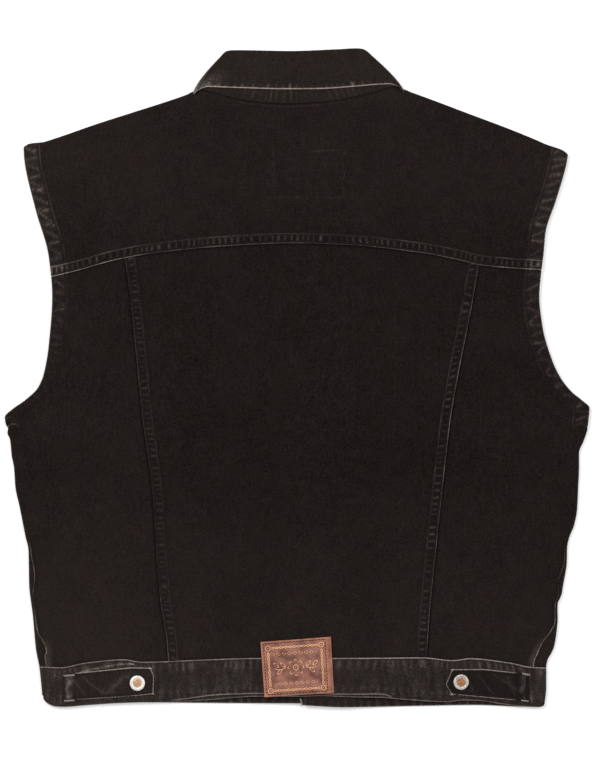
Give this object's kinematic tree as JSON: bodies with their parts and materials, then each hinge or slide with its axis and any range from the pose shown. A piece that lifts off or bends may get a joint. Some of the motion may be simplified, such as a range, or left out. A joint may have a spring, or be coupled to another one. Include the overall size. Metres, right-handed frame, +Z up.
{
  "type": "denim vest",
  "caption": "Sleeveless denim vest with collar, back yoke, waistband, adjuster tabs and a leather patch, laid out flat with its back up.",
  "frame": {"origin": "middle of the vest's box, on the surface that the fronts lie on", "axes": "+X to the right as the back is looked at, +Y from the hem towards the collar, +Z up out of the back"},
  "size_m": [0.5548, 0.6251, 0.0109],
  "materials": {
    "denim": "washed black twill, worn light along the edges and seams",
    "leather": "brown leather with a rubbed tooled border",
    "silver_metal": "worn nickel",
    "copper_metal": "worn copper"
  },
  "bodies": {
    "root": {"front_left": "denim", "front_right": "denim", "back_yoke": "denim", "back_panel_middle": "denim", "back_panel_left": "denim", "back_panel_right": "denim", "waistband": "denim", "collar": "denim", "leather_patch": "leather", "tab_left": "denim", "tab_right": "denim", "tab_button_left": "silver_metal", "tab_button_right": "silver_metal", "tab_rivet_left": "copper_metal", "tab_rivet_right": "copper_metal", "front_button_1": "silver_metal", "front_button_2": "silver_metal", "front_button_3": "silver_metal", "front_button_4": "silver_metal", "front_button_5": "silver_metal", "front_button_6": "silver_metal"}
  },
  "joints": []
}
